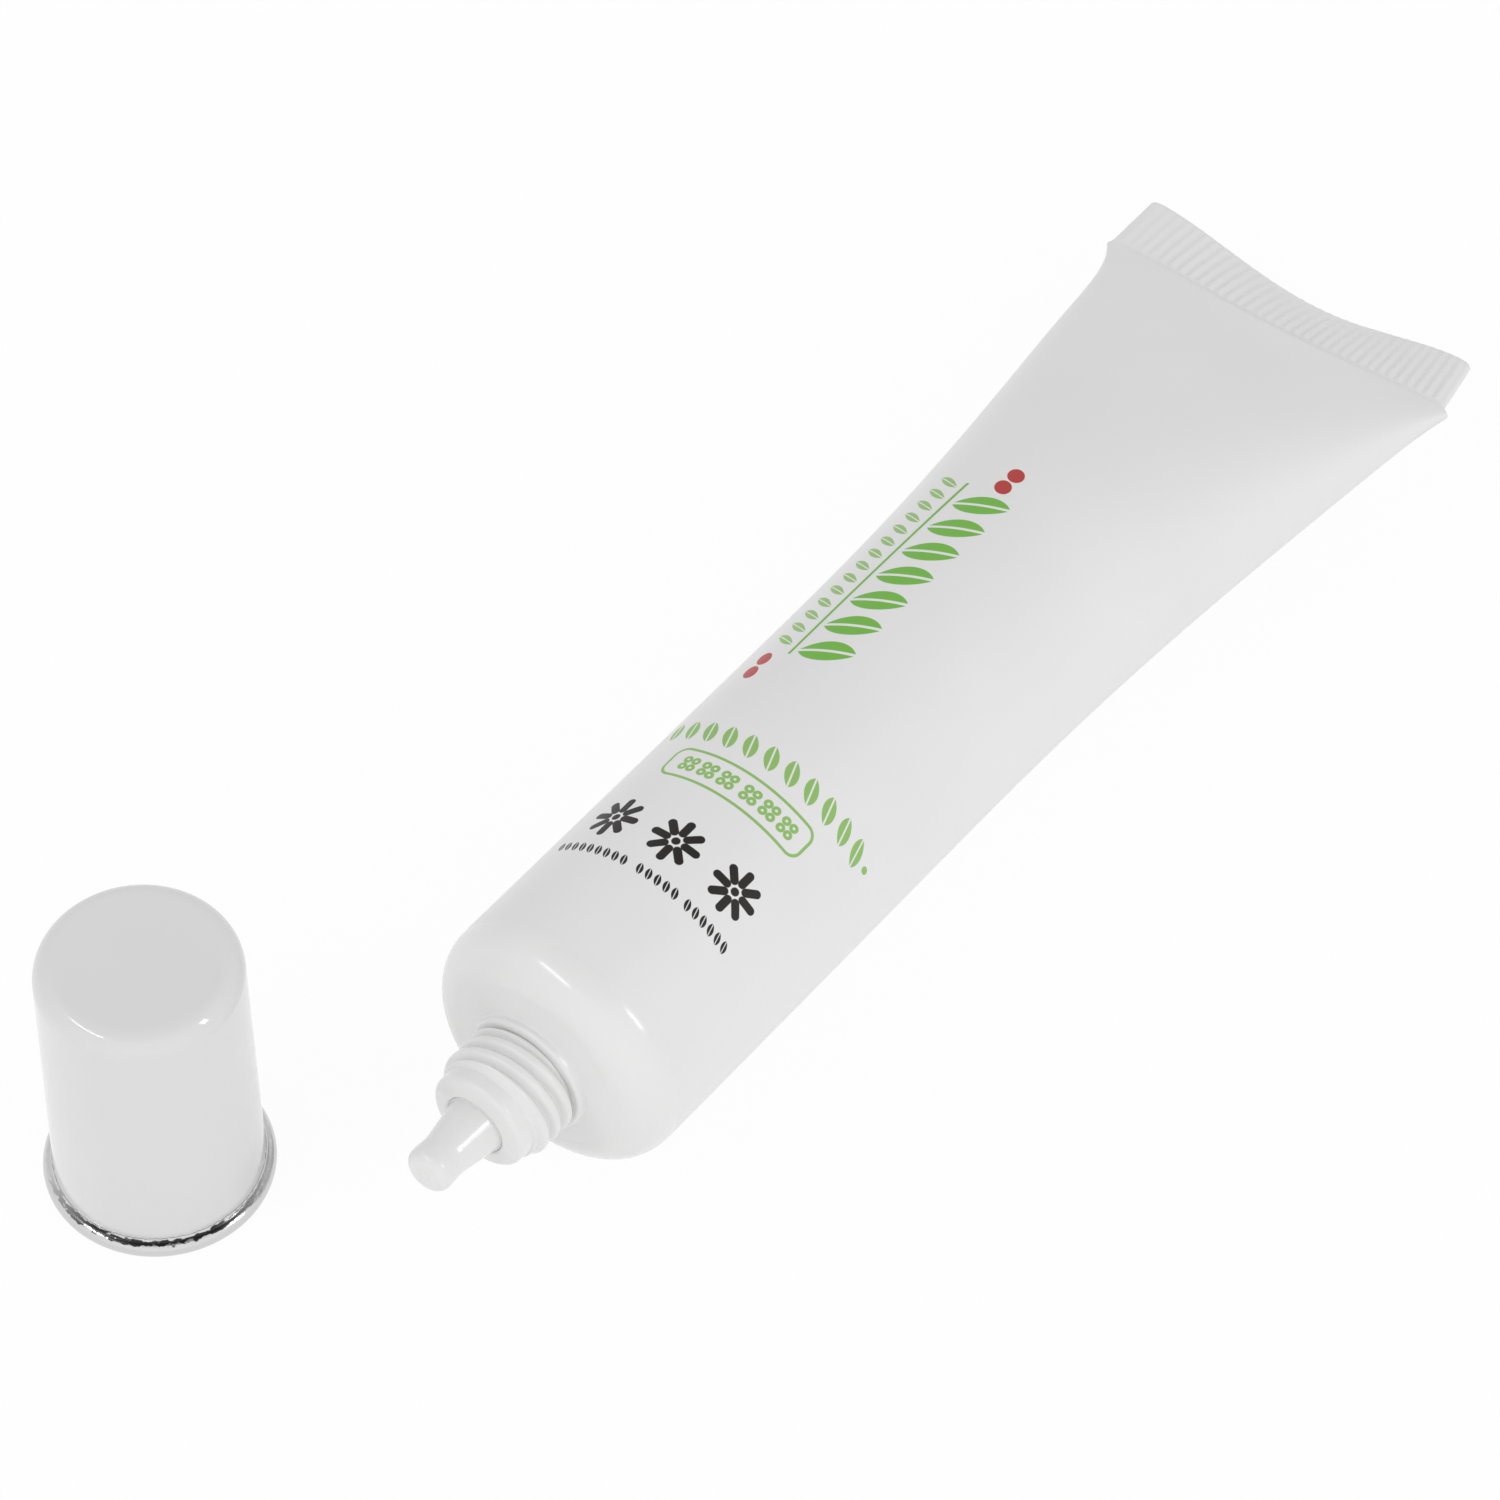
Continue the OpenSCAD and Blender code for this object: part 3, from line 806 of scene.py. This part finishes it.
# Each row: ink, mark, whether it runs along or round the tube, first mark's place (along, round),
# step, count, the mark's half sizes along and across the row, and its lean; lengths in millimetres
PRINT_ROWS = (
    ("green", "leaf", "along", (35.6, -2.0), 3.36, 7, (1.2, 2.3), -0.35),
    ("green", "bar", "along", (46.0, -4.8), 1, 1, (11.8, 0.14), 0.0),
    ("pale_green", "leaf", "along", (36.0, -6.75), 1.66, 14, (0.46, 1.35), 0.45),
    ("red", "dot", "along", (58.6, -1.9), 1.75, 2, (0.8, 0.8), 0.25),
    ("red", "dot", "along", (31.7, -6.9), 1.75, 2, (0.78, 0.78), 0.25),
    ("pale_green", "leaf", "round", (24.1, 11.6), -2.02, 11, (0.66, 1.2), 0.35),
    ("pale_green", "bar", "round", (24.1, 13.3), 1, 1, (0.35, 0.3), 0.0),
    ("pale_green", "frame", "round", (20.3, 1.3), 1, 1, (6.95, 1.55), 0.0),
    ("pale_green", "blossom", "round", (20.3, 6.2), -1.9, 3, (0.8, 0.12), 0.0),
    ("pale_green", "blossom", "round", (20.3, 0.2), -1.9, 3, (0.8, 0.12), 0.0),
    ("black", "daisy", "round", (13.1, 6.85), -6.02, 3, (2.25, 0.36), 0.0),
    ("black", "leaf", "round", (9.3, 9.3), -0.85, 6, (0.3, 0.55), 0.3),
    ("black", "leaf", "round", (9.3, 3.75), -0.85, 5, (0.3, 0.55), 0.3),
    ("black", "leaf", "round", (9.3, -1.2), -0.85, 9, (0.3, 0.55), 0.3),
)


def mark_groups():
    """The groups of all mark shapes, by name."""
    shapes = {
        "leaf": leaf_distance,
        "bar": bar_distance,
        "dot": dot_distance,
        "frame": frame_distance,
        "blossom": blossom_distance,
        "daisy": daisy_distance,
    }
    return {name: mark_group(f"Mark {name}", distance) for name, distance in shapes.items()}


def print_masks(tree):
    """Where each ink lies on the sleeve, read from the piece's own map of its skin."""
    skin = tree.nodes.new("ShaderNodeUVMap").outputs["UV"]
    split = put(tree, "ShaderNodeSeparateXYZ", skin).node
    places = {
        "along": put(tree, "ShaderNodeCombineXYZ", split.outputs["X"], split.outputs["Y"]),
        "round": put(tree, "ShaderNodeCombineXYZ", split.outputs["Y"], split.outputs["X"]),
    }
    fold, marks, masks = row_group(), mark_groups(), {}
    for ink, mark, run, first, step, count, half, lean in PRINT_ROWS:
        middle = first if run == "along" else first[::-1]
        local = use_group(
            tree,
            fold,
            place=places[run],
            first=(middle[0] * MM, middle[1] * MM, 0),
            step=step * MM,
            last=float(count - 1),
        )["Local"]
        size = {"along": half[0] * MM, "across": half[1] * MM, "lean": lean}
        spot = use_group(tree, marks[mark], local=local, **size)["Ink"]
        masks[ink] = spot if ink not in masks else calc(tree, "MAXIMUM", masks[ink], spot)
    return masks


def add_noise(tree, place, scale, detail):
    """Noise at a place."""
    grain = put(tree, "ShaderNodeTexNoise", place)
    feed(tree, grain.node.inputs["Scale"], scale)
    grain.node.inputs["Detail"].default_value = detail
    return grain


def moulded_group():
    """Surface of white plastic: faint unevenness, and a gloss that varies a little with it."""
    tree, entry, leave = group_tree(
        "Moulded surface",
        [("Grain", VALUE, 900.0), ("Smooth", VALUE, 0.25), ("Rough", VALUE, 0.35)],
        [("Roughness", VALUE), ("Height", VALUE), ("Shade", VALUE)],
    )
    place = tree.nodes.new("ShaderNodeTexCoord").outputs["Object"]
    fine = add_noise(tree, place, entry["Grain"], 3.0)
    broad = add_noise(tree, place, 70.0, 2.0)
    gloss = put(tree, "ShaderNodeMapRange", broad, 0.35, 0.65, entry["Smooth"], entry["Rough"])
    tree.links.new(gloss, leave["Roughness"])
    height = calc(tree, "ADD", fine, calc(tree, "MULTIPLY", broad, 2.0))
    tree.links.new(height, leave["Height"])
    tree.links.new(put(tree, "ShaderNodeMapRange", broad, 0.3, 0.7, 0.975, 1.0), leave["Shade"])
    return tree


def new_material(name):
    """A node material with its tree and its shader."""
    material = bpy.data.materials.new(name)
    material.use_nodes = True
    tree = material.node_tree
    return material, tree, tree.nodes["Principled BSDF"]


def add_relief(tree, shader, height, depth):
    """Lets the light play on a surface as if it rose and fell with a height."""
    relief = tree.nodes.new("ShaderNodeBump")
    relief.inputs["Strength"].default_value = 1.0
    relief.inputs["Distance"].default_value = depth
    tree.links.new(height, relief.inputs["Height"])
    tree.links.new(relief.outputs["Normal"], shader.inputs["Normal"])


def add_tint(tree, shader, base, share):
    """Darkens a base colour by a share; returns the colour's socket."""
    tint = put(tree, "ShaderNodeVectorMath", (*base,), operation="SCALE").node
    tree.links.new(share, tint.inputs["Scale"])
    tree.links.new(tint.outputs[0], shader.inputs["Base Color"])
    return tint.outputs[0]


def plastic(name, base, grain, smooth, rough, bump, ior=1.45):
    """A white plastic. Returns the material, its tree, its shader and its colour's socket."""
    material, tree, shader = new_material(name)
    group = bpy.data.node_groups.get("Moulded surface") or moulded_group()
    surface = use_group(tree, group, grain=grain, smooth=smooth, rough=rough)
    tree.links.new(surface["Roughness"], shader.inputs["Roughness"])
    add_relief(tree, shader, surface["Height"], bump)
    shader.inputs["IOR"].default_value = ior
    return material, tree, shader, add_tint(tree, shader, base, surface["Shade"])


def layer(tree, below, over, mask):
    """One colour laid over another by a mask."""
    mix = tree.nodes.new("ShaderNodeMix")
    mix.data_type = "RGBA"
    colour_inputs = [slot for slot in mix.inputs if slot.type == "RGBA"]
    tree.links.new(below, colour_inputs[0])
    colour_inputs[1].default_value = (*over, 1)
    tree.links.new(mask, mix.inputs["Factor"])
    return next(slot for slot in mix.outputs if slot.type == "RGBA")


def film_material():
    """Satin white film with its green, red and black print."""
    colours = sizes("colours")
    material, tree, shader, top = plastic(
        "printed_film", colours.film, 1600.0, 0.30, 0.38, 0.004 * MM, ior=1.36
    )
    for ink, mask in print_masks(tree).items():
        top = layer(tree, top, getattr(colours, ink), mask)
    tree.links.new(top, shader.inputs["Base Color"])
    return material


def moulding_material():
    """Smooth white moulding of shoulder, neck and nozzle."""
    white = sizes("colours").moulding
    return plastic("head_moulding", white, 900.0, 0.14, 0.22, 0.003 * MM)[0]


def cap_material():
    """Polished white cap."""
    return plastic("polished_cap", sizes("colours").cap, 700.0, 0.07, 0.12, 0.002 * MM)[0]


def foil_material():
    """Bright foil with fine creases, and a painted dark reflection: a ragged dark line near its
    upper edge, darkest on one side of the cap.
    """
    material, tree, shader = new_material("silver_foil")
    place = tree.nodes.new("ShaderNodeTexCoord").outputs["Object"]
    stretched = put(tree, "ShaderNodeMapping", place).node
    stretched.inputs["Scale"].default_value = (1.0, 1.0, 3.0)
    creases = add_noise(tree, stretched.outputs[0], 1500.0, 5.0)
    add_relief(tree, shader, creases, 0.008 * MM)
    # Painted reflection: a ragged dark line near the foil's upper edge, darkest on one side, stands
    # in for a dark reflection in the metal
    middle = cap_matrix().translation
    from_middle = put(tree, "ShaderNodeVectorMath", place, middle, operation="SUBTRACT")
    height = put(tree, "ShaderNodeSeparateXYZ", from_middle, output=2)
    wander = calc(tree, "SUBTRACT", creases, 0.5)
    ragged = calc(tree, "MULTIPLY_ADD", wander, 0.7 * MM, height)
    above = put(tree, "ShaderNodeMapRange", ragged, *STREAK[:2], 0.0, 1.0)
    below = put(tree, "ShaderNodeMapRange", ragged, *STREAK[2:], 1.0, 0.0)
    side = sizes("cap").dark_reflection_side
    facing = dot(tree, from_middle, (math.sin(side), -math.cos(side), 0))
    share = put(tree, "ShaderNodeMapRange", facing, 2 * MM, 7 * MM, 0.1, 1.0)
    dark = calc(tree, "MULTIPLY", calc(tree, "MULTIPLY", above, below), share)
    # Darkens the foil's colour where the painted dark reflection lies
    painted_reflection = put(tree, "ShaderNodeMapRange", dark, 0.0, 1.0, 1.0, 0.06)
    add_tint(tree, shader, sizes("colours").foil, painted_reflection)
    gloss = put(tree, "ShaderNodeMapRange", creases, 0.3, 0.7, 0.15, 0.27)
    tree.links.new(gloss, shader.inputs["Roughness"])
    shader.inputs["Metallic"].default_value = 1.0
    return material


class CREAM_TUBE_OT_sleeve(bpy.types.Operator):
    """Makes the printed sleeve, drawn out to its ribbed fin"""

    bl_idname = "cream_tube.sleeve"
    bl_label = "Make sleeve"

    def execute(self, context):
        bm = build_sleeve_mesh()
        new_piece("sleeve", bm, tube_matrix(), "tube_sleeve", film_material())
        return {"FINISHED"}


class CREAM_TUBE_OT_head(bpy.types.Operator):
    """Makes the moulded shoulder with its threaded neck and closed nozzle"""

    bl_idname = "cream_tube.head"
    bl_label = "Make head"

    def execute(self, context):
        bm = build_head_mesh()
        new_piece("head", bm, head_matrix(), "tube_head", moulding_material())
        return {"FINISHED"}


class CREAM_TUBE_OT_cap(bpy.types.Operator):
    """Makes the polished screw cap"""

    bl_idname = "cream_tube.cap"
    bl_label = "Make cap"

    def execute(self, context):
        bm = build_cap_mesh()
        new_piece("screw_cap", bm, cap_matrix(), "cap", cap_material())
        return {"FINISHED"}


class CREAM_TUBE_OT_foil(bpy.types.Operator):
    """Makes the torn silver foil round the cap's rim"""

    bl_idname = "cream_tube.foil"
    bl_label = "Make foil"

    def execute(self, context):
        bm = build_foil_mesh()
        new_piece("rim_foil", bm, cap_matrix(), "foil_band", foil_material())
        return {"FINISHED"}


def aim_point():
    """Place on the table that the camera looks at."""
    stage = sizes("stage")
    weld = tube_matrix().translation
    return Vector((weld.x + stage.aim_behind, weld.y + stage.aim_aside, 0))


def from_aim(azimuth, elevation, distance):
    """A place seen from the aim point; azimuth 0 is towards -Y."""
    flat = math.cos(elevation)
    back = Vector((math.sin(azimuth) * flat, -math.cos(azimuth) * flat, math.sin(elevation)))
    return aim_point() + back * distance


def look_at(thing, place, target):
    """Puts a camera or lamp at a place, facing a target."""
    thing.location = place
    thing.rotation_euler = (target - place).to_track_quat("-Z", "Y").to_euler()


def add_camera():
    """Camera at the photograph's viewing angle."""
    stage = sizes("stage")
    camera = add_object("camera", bpy.data.cameras.new("camera"))
    camera.data.sensor_width = 36
    camera.data.lens = stage.focal
    camera.data.clip_start = 0.01
    camera.data.clip_end = 20
    look_at(camera, from_aim(stage.azimuth, stage.elevation, stage.distance), aim_point())
    camera.matrix_world = camera.matrix_basis @ Matrix.Rotation(stage.camera_roll, 4, "Z")
    bpy.context.scene.camera = camera


def add_lamp(name, azimuth, elevation, distance, width, height, power):
    """A soft rectangular lamp aimed at the object."""
    lamp = bpy.data.lights.new(name, "AREA")
    lamp.shape = "RECTANGLE"
    lamp.size = width
    lamp.size_y = height
    lamp.energy = power
    place = from_aim(math.radians(azimuth), math.radians(elevation), distance)
    look_at(add_object(name, lamp), place, aim_point())


def add_floor():
    """Pale floor that keeps the object's soft shadow and is seen and mirrored white."""
    stage = sizes("stage")
    bm = bmesh.new()
    bmesh.ops.create_circle(bm, cap_ends=True, segments=64, radius=1.6)
    mesh = bpy.data.meshes.new("floor")
    bm.to_mesh(mesh)
    bm.free()
    floor = add_object("floor", mesh)
    material, tree, shader = new_material("floor")
    tree.nodes.remove(shader)
    plain = tree.nodes.new("ShaderNodeBsdfDiffuse")
    plain.inputs["Color"].default_value = (*stage.floor, 1)
    glow = tree.nodes.new("ShaderNodeEmission")
    glow.inputs["Color"].default_value = (1, 1, 1, 1)
    mix = tree.nodes.new("ShaderNodeMixShader")
    seen = calc(tree, "MULTIPLY", seen_directly(tree), stage.floor_glow)
    tree.links.new(seen, mix.inputs[0])
    tree.links.new(plain.outputs[0], mix.inputs[1])
    tree.links.new(glow.outputs[0], mix.inputs[2])
    tree.links.new(mix.outputs[0], tree.nodes["Material Output"].inputs["Surface"])
    mesh.materials.append(material)


def seen_directly(tree):
    """One for camera, mirror and see-through rays."""
    path = tree.nodes.new("ShaderNodeLightPath").outputs
    either = calc(tree, "MAXIMUM", path["Is Camera Ray"], path["Is Glossy Ray"])
    return calc(tree, "MAXIMUM", either, path["Is Transmission Ray"])


def add_sky():
    """Light tent: bright all round, stronger on the camera's side, with a dark opening overhead."""
    world = bpy.data.worlds.new("studio")
    world.use_nodes = True
    tree = world.node_tree
    background = tree.nodes["Background"]
    background.inputs["Color"].default_value = (1, 1, 1, 1)
    stage = sizes("stage")
    towards = tree.nodes.new("ShaderNodeTexCoord").outputs["Generated"]
    height = put(tree, "ShaderNodeSeparateXYZ", towards, output=2)
    span = math.sin(stage.opening_from), math.sin(stage.opening_full), stage.sky_low, stage.sky_high
    rise = put(tree, "ShaderNodeMapRange", height, *span, interpolation_type="SMOOTHSTEP")
    front = (math.sin(stage.azimuth), -math.cos(stage.azimuth), 0)
    fuller = calc(tree, "MULTIPLY_ADD", dot(tree, towards, front), stage.sky_front, 1.0)
    strength = calc(tree, "MULTIPLY", rise, fuller)
    tree.links.new(strength, background.inputs["Strength"])
    bpy.context.scene.world = world


class CREAM_TUBE_OT_stage(bpy.types.Operator):
    """Sets the camera, the soft lamps and the pale floor"""

    bl_idname = "cream_tube.stage"
    bl_label = "Set stage"

    def execute(self, context):
        stage = sizes("stage")
        add_camera()
        for name, (aside, *rest) in LAMPS.items():
            add_lamp(name, math.degrees(stage.azimuth) + aside, *rest, stage.lamp_power)
        add_floor()
        add_sky()
        context.scene.view_settings.view_transform = "Standard"
        return {"FINISHED"}


class CREAM_TUBE_PT_panel(bpy.types.Panel):
    """Lists the steps that build the tube, with their sizes"""

    bl_idname = "CREAM_TUBE_PT_panel"
    bl_label = "Cream tube"
    bl_space_type = "VIEW_3D"
    bl_region_type = "UI"
    bl_category = "Cream tube"

    def draw(self, context):
        for operator in OPERATORS:
            self.layout.operator(operator.bl_idname)
        for name in GROUPS:
            box = self.layout.box()
            box.label(text=name.capitalize())
            group = sizes(name)
            for key in group.__annotations__:
                box.prop(group, key)


OPERATORS = (
    CREAM_TUBE_OT_sleeve,
    CREAM_TUBE_OT_head,
    CREAM_TUBE_OT_cap,
    CREAM_TUBE_OT_foil,
    CREAM_TUBE_OT_stage,
)
GROUPS = {
    "sleeve": SleeveSizes,
    "head": HeadSizes,
    "cap": CapSizes,
    "colours": FinishColours,
    "stage": StageSizes,
}


def register():
    """Registers every class and gives the scene its sizes."""
    for cls in (*GROUPS.values(), *OPERATORS, CREAM_TUBE_PT_panel):
        bpy.utils.register_class(cls)
    for name, group in GROUPS.items():
        setattr(bpy.types.Scene, f"cream_tube_{name}", PointerProperty(type=group))


def unregister():
    """Takes everything back out."""
    for name in GROUPS:
        delattr(bpy.types.Scene, f"cream_tube_{name}")
    for cls in reversed((*GROUPS.values(), *OPERATORS, CREAM_TUBE_PT_panel)):
        bpy.utils.unregister_class(cls)


def main():
    """Builds every piece and the stage."""
    register()
    bpy.ops.cream_tube.sleeve()
    bpy.ops.cream_tube.head()
    bpy.ops.cream_tube.cap()
    bpy.ops.cream_tube.foil()
    bpy.ops.cream_tube.stage()


if __name__ == "__main__":
    main()
